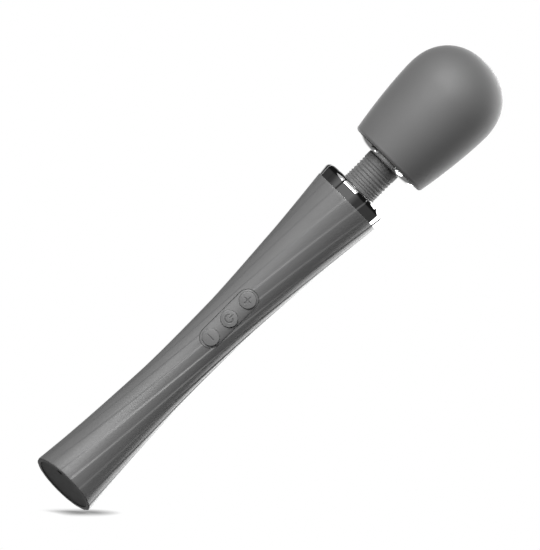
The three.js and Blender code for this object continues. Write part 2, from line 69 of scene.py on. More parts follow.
HEAD_BASE, HEAD_WIDEST, HEAD_TOP, HEAD_RADIUS = 264.4, 312, 342.5, 30.2
HEAD_SWELL, HEAD_POWER, DOME_POWER = 0.01064, 1.6, 2.2
COVER_THICKNESS, COVER_LIP, COVER_EDGE, COVER_FLOOR = 2.6, 21.4, 2.1, 2.2
SAUCER_RADIUS, SAUCER_DEPTH, SAUCER_TOP = 21.1, 3.05, 265
SAUCER_WALL_OUT, SAUCER_WALL_IN, SAUCER_RIM = 19.6, 17, 271.7
BUTTON_RADIUS, BUTTON_MIDDLE, BUTTON_PITCH = 5, 137.75, 14.75
BUTTON_RISE, PILL_RADIUS, MARK_WIDTH = 0.45, 6.4, 5.1
SPRING_RADIUS, SPRING_WIRE, SPRING_TURNS, CABLE_RADIUS = 6.1, 0.7, 4, 1.1

# ---------- dimensions of the skins, where they are finer than the CAD's or differ a little ----------
STEP_DEPTH, STEP_SWELL = 0.0118, 0.0135  # of the ridges' steps, and how much more near the waist
SWELL_HEIGHT, SWELL_SPREAD = 112, 48
STEP_HALF = math.radians(2.2)  # half the width of the step that runs up each ridge
STEP_COLUMNS, FALL_COLUMNS = 7, 8  # on each step, and between two steps
SHELL_EDGE, SHELL_ROUND = 231.9, 0.04  # top of the shell, and how far its edge is rounded
RIM_WALL, RIM_LIP = 2.1, 0.18  # the slanted rim, and how far its face stands in over the recess
RIM_ACROSS, RIM_RISE = 0.5, 0.7  # the rounding of the rim's outer edge
CAP_DEPTH, CAP_GAP, CAP_DISH = 0.4, 0.12, 0.25
COLLAR_SHOULDER, COLLAR_STEP, COLLAR_TUCK = 3.3, 0.016, 0.06
GROOVE_DEPTH, GROOVE_SPREAD = 0.58, 0.08  # of the neck, and how much shallower each one is
SAUCER_EDGE, SAUCER_CURVE = 0.3, 2.6
PAD_RECESS, PAD_BACK = 0.2, 3.0
PAD_RADIUS, HOLE_RADIUS = PILL_RADIUS - 0.18, BUTTON_RADIUS + 0.13
BUTTON_EDGE, BUTTON_CROWN, BUTTON_LENGTH, BUTTON_SHOULDER = 0.4, 0.012, 5.2, 2.4
MARK_STROKE, MARK_DEPTH = 0.72, 0.16
POWER_RING, POWER_OPENING, POWER_BAR, POWER_BAR_MIDDLE = 2.25, math.radians(35), 2.7, 1.75
BUTTON_STEPS = {"minus": -1, "power": 0, "plus": 1}
BUTTON_HEIGHTS = {name: BUTTON_MIDDLE + step * BUTTON_PITCH for name, step in BUTTON_STEPS.items()}


# ---------- the object's own curves ----------
def handle_radius(z):
    return np.hypot(WAIST_RADIUS, FLARE * (z - WAIST_HEIGHT))


def facet_radius(z):
    return handle_radius(z) * math.cos(math.pi / RIDGES)


def ridge_twist(z):
    return TWIST_START + TWIST_TURN * np.arctan((z - WAIST_HEIGHT) / TWIST_LENGTH)


PITCH = 2 * math.pi / RIDGES


def section_angles():
    """Directions of the columns round the handle, from one ridge: close together on its step."""
    on_step = np.linspace(-STEP_HALF, STEP_HALF, STEP_COLUMNS)
    between = np.linspace(STEP_HALF, PITCH - STEP_HALF, FALL_COLUMNS + 1)[1:-1]
    return np.concatenate([k * PITCH + np.concatenate([on_step, between]) for k in range(RIDGES)])


SECTION_ANGLES = section_angles()


def step_depth(z):
    """How far a ridge stands over the foot of its step, as a share of the radius."""
    return STEP_DEPTH + STEP_SWELL * np.exp(-((z - SWELL_HEIGHT) / SWELL_SPREAD) ** 2)


def ridge_share(from_ridge, depth):
    """Radius, as a share of the ridges' own: a short rise over each step, then a long fall."""
    local = np.mod(from_ridge + STEP_HALF, PITCH)
    rise = np.clip(local / (2 * STEP_HALF), 0, 1)
    fall = np.clip((local - 2 * STEP_HALF) / (PITCH - 2 * STEP_HALF), 0, 1)
    return 1 - depth + depth * (rise * rise * (3 - 2 * rise) - fall)


def ridged_radius(angle, z):
    """Radius of the ridged handle at a direction and a height."""
    return handle_radius(z) * ridge_share(angle - ridge_twist(z), step_depth(z))


def front_depth(x, z, inset=0.0):
    """Y of the smooth front form that the pad and the buttons follow."""
    radius = facet_radius(z) - inset
    return -np.sqrt(np.maximum(radius * radius - x * x, 1.0))


def head_side(z):
    return HEAD_RADIUS - HEAD_SWELL * (HEAD_WIDEST - z) ** HEAD_POWER


def head_profile(inset, low, side_steps, dome_steps):
    """Points of [radius, height] from a height on the head's side to the top of its dome."""
    points = [
        (head_side(z) - inset, z)
        for z in np.linspace(low, HEAD_WIDEST, side_steps, endpoint=False)
    ]
    width, height = HEAD_RADIUS - inset, HEAD_TOP - HEAD_WIDEST - inset
    for i in range(dome_steps + 1):
        a = math.pi / 2 * i / dome_steps
        across = max(0.0, math.cos(a)) ** (2 / DOME_POWER) if i < dome_steps else 0.0
        points.append((width * across, HEAD_WIDEST + height * math.sin(a) ** (2 / DOME_POWER)))
    return points


def neck_ridge(n):
    """Height of a ridge of the neck, counted from the middle one: closer together farther out."""
    return MIDDLE_RIDGE + RIDGE_PITCH * n - RIDGE_CLOSING * n * abs(n)


def circle(count):
    return np.arange(count) * 2 * math.pi / count


# ---------- mesh helpers ----------
def to_object(name, bm, smooth_angle=35):
    """An object from a bmesh, smooth up to an angle in degrees."""
    bmesh.ops.recalc_face_normals(bm, faces=bm.faces)
    mesh = bpy.data.meshes.new(name)
    bm.to_mesh(mesh)
    bm.free()
    obj = bpy.data.objects.new(name, mesh)
    bpy.context.scene.collection.objects.link(obj)
    mesh.shade_smooth()
    mesh.set_sharp_from_angle(angle=math.radians(smooth_angle))
    return obj


def bm_from(vertices, faces):
    """A bmesh from points in millimetres; doubled points are merged and flat slivers dropped."""
    bm = bmesh.new()
    made = [bm.verts.new(Vector([float(c) * MM for c in v])) for v in vertices]
    for face in faces:
        keys = list(dict.fromkeys(face))
        if len(keys) > 2:
            try:
                bm.faces.new([made[i] for i in keys])
            except ValueError:
                pass  # the face is there already
    bmesh.ops.remove_doubles(bm, verts=bm.verts, dist=1e-7)
    bmesh.ops.dissolve_degenerate(bm, edges=bm.edges, dist=1e-8)
    return bm


def grid(rows, wrap_rows=False, cap_first=False, cap_last=False):
    """A bmesh over rows of points (rows x columns x 3), closed across columns and, if asked, rows."""
    rows = np.asarray(rows, float)
    row_count, count = rows.shape[:2]
    faces = []
    for i in range(row_count if wrap_rows else row_count - 1):
        a, b = i * count, ((i + 1) % row_count) * count
        for j in range(count):
            k = (j + 1) % count
            faces.append((a + j, a + k, b + k, b + j))
    if cap_first:
        faces.append(tuple(range(count))[::-1])
    if cap_last:
        faces.append(tuple((row_count - 1) * count + j for j in range(count)))
    return bm_from(rows.reshape(-1, 3), faces)


def lathe(outline, segments):
    """Turns a closed outline of [radius, height] about Z. Points on the axis close the form."""
    rows = [[(r * math.cos(a), r * math.sin(a), z) for a in circle(segments)] for r, z in outline]
    return grid(rows, wrap_rows=True)


def sweep(points, radius, sides):
    """A round wire along points, with flat ends."""
    path = np.array(points, float)
    tangents = np.gradient(path, axis=0)
    tangents /= np.linalg.norm(tangents, axis=1)[:, None]
    normal = np.cross(tangents[0], [0.3, 0.9, 0.1])  # any direction that is not along the wire
    rows = []
    for point, tangent in zip(path, tangents):
        normal = normal - tangent * (normal @ tangent)
        normal /= np.linalg.norm(normal)
        side = np.cross(tangent, normal)
        rows.append([
            point + radius * (math.cos(a) * normal + math.sin(a) * side) for a in circle(sides)
        ])
    return grid(rows, cap_first=True, cap_last=True)


def smooth_path(points, count, steps=24):
    """Points evenly spaced along a smooth curve through the given points."""
    given = [np.array(point, float) for point in points]
    given = [2 * given[0] - given[1]] + given + [2 * given[-1] - given[-2]]
    fine = []
    for i in range(1, len(given) - 2):
        a, b, c, d = given[i - 1:i + 3]
        for t in np.linspace(0, 1, steps, endpoint=False):
            fine.append(0.5 * (2 * b + (c - a) * t + (2 * a - 5 * b + 4 * c - d) * t * t
                               + (3 * b - a - 3 * c + d) * t ** 3))
    fine = np.array(fine + [given[-2]])
    run = np.concatenate([[0], np.cumsum(np.linalg.norm(np.diff(fine, axis=0), axis=1))])
    at = np.linspace(0, run[-1], count)
    return np.stack([np.interp(at, run, fine[:, k]) for k in range(3)], axis=1)


def carve(obj, cutter):
    """Cuts a solid out of obj, applies the result and removes the solid."""
    modifier = obj.modifiers.new("cut", "BOOLEAN")
    modifier.operation, modifier.solver, modifier.object = "DIFFERENCE", "EXACT", cutter
    bpy.context.view_layer.update()
    graph = bpy.context.evaluated_depsgraph_get()
    mesh = bpy.data.meshes.new_from_object(obj.evaluated_get(graph))
    obj.modifiers.clear()
    obj.data = mesh
    mesh.shade_smooth()
    mesh.set_sharp_from_angle(angle=math.radians(35))
    bpy.data.objects.remove(cutter, do_unlink=True)


def pill_loop(radius, arc_steps=36, side_steps=22):
    """X and height of points round a pill: half circles about the two end buttons."""
    loop = []
    for side in (1, -1):  # the upper arc and the left side, then the lower arc and the right side
        for i in range(arc_steps):
            a = math.pi * i / arc_steps
            loop.append((side * radius * math.cos(a), side * (BUTTON_PITCH + radius * math.sin(a))))
        for i in range(side_steps):
            loop.append((-side * radius, side * BUTTON_PITCH * (1 - 2 * i / side_steps)))
    return [(x, z + BUTTON_MIDDLE) for x, z in loop]


def circle_loop(radius, height):
    return [(radius * math.cos(a), height + radius * math.sin(a)) for a in circle(72)]


def front_loft(loop_at, profile, depth_of):
    """A solid between caps: each profile step is (outset of the loop, depth below the form)."""
    rows = []
    for outset, depth in profile:
        rows.append([(x, depth_of(x, z) + depth, z) for x, z in loop_at(outset)])
    return grid(rows, cap_first=True, cap_last=True)


# ---------- materials ----------
def add_node(tree, kind, **values):
    node = tree.nodes.new(kind)
    for key, value in values.items():
        setattr(node, key, value)
    return node


class Nodes:
    """A short way to write a material's node tree."""

    def __init__(self, name):
        self.material = bpy.data.materials.new(name)
        self.material.use_nodes = True
        self.tree = self.material.node_tree
        self.shader = self.tree.nodes["Principled BSDF"]
        self.coords = self.add("ShaderNodeTexCoord").outputs["Object"]

    def add(self, kind, **values):
        return add_node(self.tree, kind, **values)

    def link(self, a, b):
        self.tree.links.new(a, b)

    def mapped(self, stretch):
        node = self.add("ShaderNodeMapping")
        node.inputs["Scale"].default_value = stretch
        self.link(self.coords, node.inputs["Vector"])
        return node.outputs["Vector"]

    def noise(self, scale, detail=3.0, roughness=0.5, vector=None):
        node = self.add("ShaderNodeTexNoise")
        node.inputs["Scale"].default_value = scale
        node.inputs["Detail"].default_value = detail
        node.inputs["Roughness"].default_value = roughness
        self.link(vector or self.coords, node.inputs["Vector"])
        return node.outputs["Fac"]

    def ramp(self, value, stops):
        node = self.add("ShaderNodeValToRGB")
        elements = node.color_ramp.elements
        while len(elements) < len(stops):
            elements.new(0.5)
        for element, (at, colour) in zip(elements, stops):
            element.position = at
            element.color = (*colour, 1)
        self.link(value, node.inputs["Fac"])
        return node.outputs["Color"]

    def span(self, value, low, high, out_low, out_high):
        node = self.add("ShaderNodeMapRange")
        for key, number in (("From Min", low), ("From Max", high), ("To Min", out_low),
                            ("To Max", out_high)):
            node.inputs[key].default_value = number
        self.link(value, node.inputs["Value"])
        return node.outputs["Result"]

    def math(self, operation, a, b):
        node = self.add("ShaderNodeMath", operation=operation)
        for socket, value in zip(node.inputs, (a, b)):
            if isinstance(value, (int, float)):
                socket.default_value = value
            else:
                self.link(value, socket)
        return node.outputs["Value"]

    def mix(self, factor, first, second):
        """A colour socket blended towards a constant colour."""
        node = self.add("ShaderNodeMix", data_type="RGBA")
        self.link(factor, node.inputs[0])
        self.link(first, node.inputs[6])
        node.inputs[7].default_value = (*second, 1)
        return node.outputs[2]

    def bump(self, height, distance, strength):
        node = self.add("ShaderNodeBump")
        node.inputs["Distance"].default_value = distance
        node.inputs["Strength"].default_value = strength
        self.link(height, node.inputs["Height"])
        return node.outputs["Normal"]

    def set(self, **values):
        """Links sockets and sets constants on the shader; _ in a name stands for a space."""
        for key, value in values.items():
            socket = self.shader.inputs[key.replace("_", " ")]
            if isinstance(value, bpy.types.NodeSocket):
                self.link(value, socket)
            else:
                socket.default_value = value


def shade(colour, factor):
    return tuple(min(1.0, c * factor) for c in colour)


def edge_wear(n):
    """How much of a convex edge each point is, from 0 to 1."""
    return n.span(n.add("ShaderNodeNewGeometry").outputs["Pointiness"], 0.52, 0.62, 0.0, 1.0)


def moulded(name, colour, roughness, grain=2400, grain_depth=0.00001, coat=0.0, sheen=0.0,
            variation=0.05, rough_spread=0.06, wear=0.12, specular=0.5, metallic=0.0,
            stretch=None, coat_roughness=0.1, signs=False):
    """Moulded plastic, rubber, metal and the like: tone variation, grain, wear and scuffs."""
    n = Nodes(name)
    blotch = n.noise(35, 4)
    tone = n.ramp(blotch, [(0.3, shade(colour, 1 - variation)), (0.7, shade(colour, 1 + variation))])
    tone = n.mix(n.math("MULTIPLY", edge_wear(n), wear), tone, shade(colour, 1.9))
    # the signs' engraving is real geometry; their darker colour is painted shade in the strokes
    if signs:
        sign = n.add("ShaderNodeAttribute", attribute_name="sign").outputs["Fac"]
        tone = n.mix(n.math("MULTIPLY", sign, 0.5), tone, shade(colour, 0.2))
    fine = n.noise(grain, 2, 0.6, n.mapped(stretch) if stretch else None)
    scuff = n.noise(160, 5, 0.65)
    uneven = n.math("ADD", n.math("MULTIPLY", scuff, 0.65), n.math("MULTIPLY", fine, 0.35))
    smoothest, roughest = max(0.02, roughness - rough_spread), roughness + rough_spread
    n.set(
        Base_Color=tone,
        Roughness=n.span(uneven, 0.3, 0.7, smoothest, roughest),
        Metallic=metallic,
        Normal=n.bump(fine, grain_depth, 0.6),
        Specular_IOR_Level=specular,
        Coat_Weight=coat,
        Coat_Roughness=coat_roughness,
        Sheen_Weight=sheen,
        Sheen_Roughness=0.4,
    )
    return n.material


LACQUER = (0.11, 0.11, 0.11)
SILICONE = (0.086, 0.086, 0.086)
materials = {
    "handle": moulded("lacquered_plastic", LACQUER, 0.44, grain=900, grain_depth=0.0000005,
                      coat=0.15, coat_roughness=0.3, variation=0.03, rough_spread=0.012, wear=0.08),
    "button_silicone": moulded("button_silicone", (0.113, 0.113, 0.113), 0.5, grain=1800,
                               grain_depth=0.000006, wear=0.1, signs=True),
    "head_silicone": moulded("soft_silicone", SILICONE, 0.62, grain=1500, grain_depth=0.00001,
                             sheen=0.4, variation=0.03, rough_spread=0.05, wear=0.06),
    "base": moulded("fine_textured_plastic", (0.15, 0.15, 0.15), 0.55, grain=2600,
                    grain_depth=0.00002, specular=0.3),
    "chrome": moulded("mirror_plating", (0.87, 0.87, 0.87), 0.06, grain=700, grain_depth=0.000002,
                      variation=0.02, rough_spread=0.025, wear=0.0, metallic=1.0),
    "nylon": moulded("glass_filled_nylon", (0.58, 0.57, 0.54), 0.55, grain=1400),
    "steel": moulded("zinc_plated_steel", (0.4, 0.41, 0.42), 0.34, grain=900, metallic=1.0,
                     stretch=(1, 1, 12), grain_depth=0.000006),
    "brass": moulded("machined_brass", (0.46, 0.28, 0.07), 0.33, grain=900, metallic=1.0,
                     stretch=(1, 1, 14), grain_depth=0.000006),
    "rubber": moulded("black_elastomer", (0.012, 0.012, 0.012), 0.75, grain=1700, sheen=0.05),
    "board": moulded("green_solder_mask", (0.014, 0.1, 0.042), 0.42, grain=500, coat=0.3),
    "black_plastic": moulded("black_plastic", (0.015, 0.015, 0.016), 0.45, grain=2200),
    "cell_wrap": moulded("shrink_sleeve", (0.028, 0.155, 0.39), 0.32, grain=300, coat=0.4),
}


def piece(obj, body, slot, *replaced, blend=None):
    """Gives a piece its material and hides the CAD nodes that it stands for; a piece with a blend has its
    transform baked in, any other is put under its body.
    """
    obj.data.materials.clear()
    obj.data.materials.append(materials[slot])
    if blend:
        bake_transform(obj)
    else:
        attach(obj, body)
    if replaced:
        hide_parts(*replaced)
    return obj


LOWER_BEND = ("handle", "neck_middle", (0, 0, COLLAR_TOP * MM), (0, 0, NECK_SPLIT * MM))
UPPER_BEND = ("neck_middle", "head", (0, 0, NECK_SPLIT * MM), (0, 0, NECK_TOP * MM))


# ---------- handle ----------
def base_point(angle, inset, depth):
    """The point of the handle's smooth inner form in a direction, at a depth inside the base face."""
    z = BASE_HEIGHT
    for _ in range(30):
        r = facet_radius(z) - inset
        z = BASE_HEIGHT + depth / math.cos(BASE_TILT) - r * math.sin(angle) * math.tan(BASE_TILT)
    r = facet_radius(z) - inset
    return np.array([r * math.cos(angle), r * math.sin(angle), z])


def unit(vector):
    return vector / np.linalg.norm(vector)


def shell_column(offset):
    """A closed column of the shell's skin: up the outside, over the top, down the inside, to the rim."""
    def outside(z):
        a = offset + ridge_twist(z)
        r = ridged_radius(a, z)
        return np.array([r * math.cos(a), r * math.sin(a), z])

    foot_height = BASE_HEIGHT
    for _ in range(40):
        foot_height = BASE_HEIGHT - outside(foot_height)[1] * math.tan(BASE_TILT)
    foot = outside(foot_height)
    foot_angle = math.atan2(foot[1], foot[0])
    rim_edge = base_point(foot_angle, RIM_WALL + RIM_LIP, 0)
    inward, upward = unit(rim_edge - foot), unit(outside(foot_height + 1) - foot)
    column = []
    for a in np.linspace(math.pi / 2, 0, 8):
        column.append(foot + RIM_ACROSS * (1 - math.cos(a)) * inward
                      + RIM_RISE * (1 - math.sin(a)) * upward)
    start, end = foot_height + RIM_RISE * 1.02, SHELL_EDGE - SHELL_ROUND
    column += [outside(start + (end - start) * share) for share in np.linspace(0, 1, 120)[1:]]
    top = outside(SHELL_EDGE)
    outward = unit(np.array([top[0], top[1], 0]))
    for a in np.radians([30, 60, 90]):
        column.append(top - outward * SHELL_ROUND * (1 - math.cos(a))
                      + np.array([0, 0, SHELL_ROUND * (math.sin(a) - 1)]))
    top_angle = math.atan2(top[1], top[0])
    for z in (SHELL_EDGE, 200.0, 160.0, 120.0, 80.0, 40.0, 14.0):
        inside = facet_radius(z) - SHELL_WALL
        a = top_angle + ridge_twist(z) - ridge_twist(SHELL_EDGE)
        column.append(np.array([inside * math.cos(a), inside * math.sin(a), z]))
    # the ledge behind the cap, and the wall of the recess out to the rim
    for inset, depth in ((LEDGE_WALL, 5.5), (LEDGE_WALL, 3.8), (RIM_WALL, 3.6), (RIM_WALL, CAP_DEPTH),
                         (RIM_WALL, 0.15), (RIM_WALL - 0.07, 0.05)):
        column.append(base_point(foot_angle, inset, depth))
    column.append(rim_edge)
    return column


def handle_skin():
    columns = [shell_column(offset) for offset in SECTION_ANGLES]
    return to_object("handle_skin", grid(np.array(columns).transpose(1, 0, 2), wrap_rows=True), 40)


def handle_front(x, z):
    """Y of the ridged surface on the button side."""
    y = -WAIST_RADIUS
    for _ in range(12):
        r = ridged_radius(math.atan2(y, x), z)
        y = -math.sqrt(max(r * r - x * x, 1.0))
    return y


handle = handle_skin()
# the pad's opening: how far out of the pill each loop lies, and how deep under the ridges
opening_steps = [(1.3, -2.5), (0.1, -0.02), (0.05, 0.02), (0.015, 0.05), (0.0, 0.1), (0.0, 5.0)]
opening = front_loft(lambda outset: pill_loop(PILL_RADIUS + outset), opening_steps, handle_front)
carve(handle, to_object("opening", opening))
piece(handle, "handle", "handle", "handle_shell")


# ---------- slanted base cap ----------
def tilt(x, y, z):
    """A point of the base face's own frame, where z is the depth, in the wand's frame."""
    c, s = math.cos(BASE_TILT), math.sin(BASE_TILT)
    return (x, y * c + z * s, -y * s + z * c + BASE_HEIGHT)


def cap_skin():
    angles = circle(128)
    rim = np.array([base_point(a, RIM_WALL + CAP_GAP, CAP_DEPTH) for a in angles])
    centre = rim.mean(axis=0)
    normal = np.array([0, math.sin(BASE_TILT), math.cos(BASE_TILT)])

    def ring(share, depth):
        return centre + (rim - centre) * share + normal * depth

    rows = [ring(share, CAP_THICKNESS) for share in (0, 0.5, 1)]
    rows += [ring(1, 0.25), ring(0.996, 0.07)]  # the rounded edge
    rows += [ring(share, CAP_DISH * (1 - share ** 4)) for share in np.linspace(0.985, 0, 16)]
    return to_object("base_cap", grid(rows))


def port_hole():
    """What the inlet cuts out of the cap: a hole with a flared mouth."""
    steps = [(1.5, -2.0), (0.62, -0.04), (0.38, 0.05), (0.16, 0.2), (0.03, 0.42), (0.0, 0.7), (0.0, 4.0)]
    rows = []
    for outset, depth in steps:
        r = PORT_RADIUS + outset
        rows.append([
            tilt(PORT_X + r * math.cos(a), PORT_Y + r * math.sin(a), CAP_DEPTH + 0.12 + depth)
            for a in circle(48)
        ])
    return to_object("port", grid(rows, cap_first=True, cap_last=True))


cap = cap_skin()
carve(cap, port_hole())
piece(cap, "handle", "base", "bottom_cap")


# ---------- collar ----------
def collar_skin():
    def ridged_row(z, inset, at):
        """Points at height z, with the section that the handle's form has at another height."""
        radius = handle_radius(at)
        r = radius * ridge_share(SECTION_ANGLES, COLLAR_STEP) * (1 - inset / radius)
        turned = SECTION_ANGLES + ridge_twist(at)
        return np.stack([r * np.cos(turned), r * np.sin(turned), np.full_like(r, z)], axis=1)

    def round_row(r, z):
        turned = SECTION_ANGLES + ridge_twist(COLLAR_TOP)
        return np.stack([r * np.cos(turned), r * np.sin(turned), np.full_like(turned, z)], axis=1)

    shoulder_base = COLLAR_TOP - COLLAR_SHOULDER
    heights = [COLLAR_BASE - 0.1, COLLAR_BASE + 0.5, *np.linspace(COLLAR_BASE + 1.0, shoulder_base, 8)]
    rows = [ridged_row(z, COLLAR_TUCK, z) for z in heights]
    for a in np.radians(np.linspace(0, 90, 13)[1:]):
        inset = COLLAR_TUCK + 0.14 * math.sin(a) + COLLAR_SHOULDER * (1 - math.cos(a))
        rows.append(ridged_row(shoulder_base + COLLAR_SHOULDER * math.sin(a), inset, shoulder_base))
    mouth = NECK_RADIUS + GAP
    for r, z in ((18.4, COLLAR_TOP), (mouth + 0.45, COLLAR_TOP), (mouth + 0.14, COLLAR_TOP - 0.1),
                 (mouth, COLLAR_TOP - 0.45), (mouth, COLLAR_TOP - COLLAR_PLATE),
                 (COLLAR_BORE, COLLAR_TOP - COLLAR_PLATE), (COLLAR_BORE, SPIGOT_BASE),
                 (COLLAR_SPIGOT, SPIGOT_BASE), (COLLAR_SPIGOT, COLLAR_BASE - 0.1)):
        rows.append(round_row(r, z))
    return to_object("collar_skin", grid(rows, wrap_rows=True), 40)


collar = collar_skin()
piece(collar, "handle", "chrome", "chrome_collar")


# ---------- neck ----------
def neck_surface(z):
    """Radius of the neck at a height: a shallow groove between each two ridges."""
    for n in range(-5, 3):
        below, above = neck_ridge(n), neck_ridge(n + 1)
        if below <= z <= above:
            depth = GROOVE_DEPTH * (1 - GROOVE_SPREAD * abs(n + 0.5))
            return NECK_RADIUS - depth * math.sin(math.pi * (z - below) / (above - below)) ** 2
    return NECK_RADIUS


def neck_skin(name, low, high, flange_low):
    """One half of the neck's sleeve, with a flange at its outer end."""
    flange_high = flange_low + FLANGE_HEIGHT
    step = (high - low) / round((high - low) / 0.125)
    outer = [(neck_surface(z), z) for z in np.arange(low, high + 1e-6, step)]
    flange = [(NECK_FLANGE, flange_low), (NECK_FLANGE, flange_high)]
    if flange_low == low:
        outline = flange + [point for point in outer if point[1] >= flange_high]
    else:
        outline = [point for point in outer if point[1] <= flange_low] + flange
    outline += [(NECK_BORE, high), (NECK_BORE, low)]
    return to_object(name, lathe(outline, 112), 50)


lower = neck_skin("neck_skin_lower", NECK_BASE, NECK_SPLIT, NECK_BASE)
piece(lower, None, "head_silicone", "neck_sleeve_lower", blend=LOWER_BEND)
upper = neck_skin("neck_skin_upper", NECK_SPLIT, NECK_END, NECK_END - FLANGE_HEIGHT)
piece(upper, None, "head_silicone", "neck_sleeve_upper", blend=UPPER_BEND)


def coil(low, high, per_turn=40):
    """Points along a spring from one height to another."""
    share = np.linspace(0, 1, SPRING_TURNS * per_turn + 1)
    a = share * SPRING_TURNS * 2 * math.pi
    return np.stack([SPRING_RADIUS * np.cos(a), SPRING_RADIUS * np.sin(a),
                     low + (high - low) * share], axis=1)


for name, low, high, bend in (("spring_lower", 236.5, 251.2, LOWER_BEND),
                              ("spring_upper", 253.2, 267.0, UPPER_BEND)):
    wire = to_object(name, sweep(coil(low, high), SPRING_WIRE, 12), 50)
    piece(wire, None, "steel", "neck_" + name, blend=bend)

LOWER_CABLE = [(4.6, -6.6, 166.3), (5.2, -6.2, 172), (5.7, -4.5, 180), (5.7, -2, 192), (5.7, 0, 206),
               (4, 0, 217), (1, 0, 227), (0, 0, 234), (0, 0, 243), (0, 0, NECK_SPLIT)]
UPPER_CABLE = [(0, 0, NECK_SPLIT), (0, 0, 258), (0.4, 0, 263), (2.3, 0, 268), (5, 0, 271.2),
               (6.3, 0, 272.8), (6.5, 0, 274)]
for name, path, bend in (("motor_cable_lower", LOWER_CABLE, LOWER_BEND),
                         ("motor_cable_upper", UPPER_CABLE, UPPER_BEND)):
    cable = to_object(name + "_skin", sweep(smooth_path(path, 90), CABLE_RADIUS, 14), 50)
    piece(cable, None, "rubber", name, blend=bend)


# ---------- head ----------
def saucer_skin():
    mouth = NECK_RADIUS + 0.05
    edge_base = HEAD_BASE - SAUCER_EDGE
    outline = []
    for r in np.linspace(mouth + 0.25, SAUCER_RADIUS, 29):
        share = 1 - ((r - mouth) / (SAUCER_RADIUS - mouth)) ** SAUCER_CURVE
        outline.append((r, edge_base - (SAUCER_DEPTH - SAUCER_EDGE) * share))
    outline += [
        (SAUCER_RADIUS - 0.17, HEAD_BASE + 0.02), (SAUCER_RADIUS - 0.2, SAUCER_TOP),
        (SAUCER_WALL_OUT, SAUCER_TOP + 0.6), (SAUCER_WALL_OUT, SAUCER_RIM),
        (SAUCER_WALL_IN, SAUCER_RIM), (SAUCER_WALL_IN, SAUCER_TOP),
        (mouth, SAUCER_TOP), (mouth, HEAD_BASE - SAUCER_DEPTH + 0.25),
    ]
    return to_object("saucer_skin", lathe(outline, 192), 40)


saucer = saucer_skin()
piece(saucer, "head", "chrome", "head_base")
for mirror in (collar, saucer):
    mirror.visible_diffuse = False  # no speckle from light that a mirror throws on matt parts


def head_skin():
    foot = HEAD_BASE + COVER_EDGE
    edge_centre = head_side(foot) - COVER_EDGE
    outline = [(COVER_LIP, HEAD_BASE + 0.25), (COVER_LIP + 0.1, HEAD_BASE + 0.05),
               (COVER_LIP + 0.3, HEAD_BASE)]
    for a in np.radians(np.linspace(0, 90, 14)[:-1]):
        outline.append((edge_centre + COVER_EDGE * math.sin(a), foot - COVER_EDGE * math.cos(a)))
    outline += head_profile(0, foot, 34, 44)
    outline += head_profile(COVER_THICKNESS, HEAD_BASE + COVER_FLOOR, 8, 14)[::-1]
    outline.append((COVER_LIP, HEAD_BASE + COVER_FLOOR))
    return to_object("head_skin", lathe(outline, 144), 50)


piece(head_skin(), "head", "head_silicone", "head_cover")


# ---------- button pad and buttons ----------
def pad_form(x, z):
    return front_depth(x, z, PAD_RECESS)


def from_pill(x, z):
    """Distance from the line that joins the two end buttons."""
    return math.hypot(x, max(0.0, abs(z - BUTTON_MIDDLE) - BUTTON_PITCH))


def from_buttons(x, z):
    """Distance from the middle of the nearest button."""
    return min(math.hypot(x, z - height) for height in BUTTON_HEIGHTS.values())


def filled(outer, holes, depth_at, spacing=0.8):
    """Points and triangles that fill the loop round the buttons' holes, on the pad's form."""
    points, edges = [], []
    for loop in [outer] + holes:
        first = len(points)
        points += [Vector(point) for point in loop]
        edges += [(first + i, first + (i + 1) % len(loop)) for i in range(len(loop))]
    reach = BUTTON_PITCH + 7
    for z in np.arange(BUTTON_MIDDLE - reach, BUTTON_MIDDLE + reach, spacing):
        for x in np.arange(-7, 7.01, spacing):
            if from_pill(x, z) < PILL_RADIUS - 0.75 and from_buttons(x, z) > BUTTON_RADIUS + 0.7:
                points.append(Vector((x, z)))
    made = delaunay_2d_cdt(points, edges, [], 0, 1e-5)
    vertices, triangles = made[0], made[2]
    kept = []
    for triangle in triangles:
        x, z = (sum(vertices[i][k] for i in triangle) / 3 for k in (0, 1))
        if from_pill(x, z) < PILL_RADIUS and from_buttons(x, z) >= BUTTON_RADIUS:
            kept.append(tuple(triangle))
    return [(v.x, depth_at(v.x, v.y), v.y) for v in vertices], kept


def strip(loops):
    """Points and quads of a closed strip over rows of points."""
    count = len(loops[0])
    points = [point for loop in loops for point in loop]
    faces = []
    for i in range(len(loops) - 1):
        for j in range(count):
            k = (j + 1) % count
            faces.append((i * count + j, i * count + k, (i + 1) * count + k, (i + 1) * count + j))
    return points, faces


def joined(*parts):
    points, faces = [], []
    for more, made in parts:
        first = len(points)
        points += more
        faces += [tuple(first + i for i in face) for face in made]
    return points, faces


def pad_skin():
    def row(loop, depth):
        return [(x, pad_form(x, z) + depth, z) for x, z in loop]

    # each step: how far out of the loop, and how deep under the pad's form
    rim = [(0.0, PAD_BACK), (0.0, 0.05), (-0.04, 0.0)]
    wall = [(0.0, PAD_BACK), (0.0, 0.04), (0.03, 0.0)]
    heights = BUTTON_HEIGHTS.values()
    parts = [strip([row(pill_loop(PAD_RADIUS + outset), depth) for outset, depth in rim])]
    for z in heights:
        parts.append(strip([row(circle_loop(HOLE_RADIUS + outset, z), depth) for outset, depth in wall]))
    parts.append(filled(pill_loop(PAD_RADIUS + rim[-1][0]),
                        [circle_loop(HOLE_RADIUS + wall[-1][0], z) for z in heights], pad_form))
    parts.append(filled(pill_loop(PAD_RADIUS), [circle_loop(HOLE_RADIUS, z) for z in heights],
                        lambda x, z: pad_form(x, z) + PAD_BACK))
    return to_object("pad_skin", bm_from(*joined(*parts)), 50)


piece(pad_skin(), "handle", "button_silicone", "button_pad")


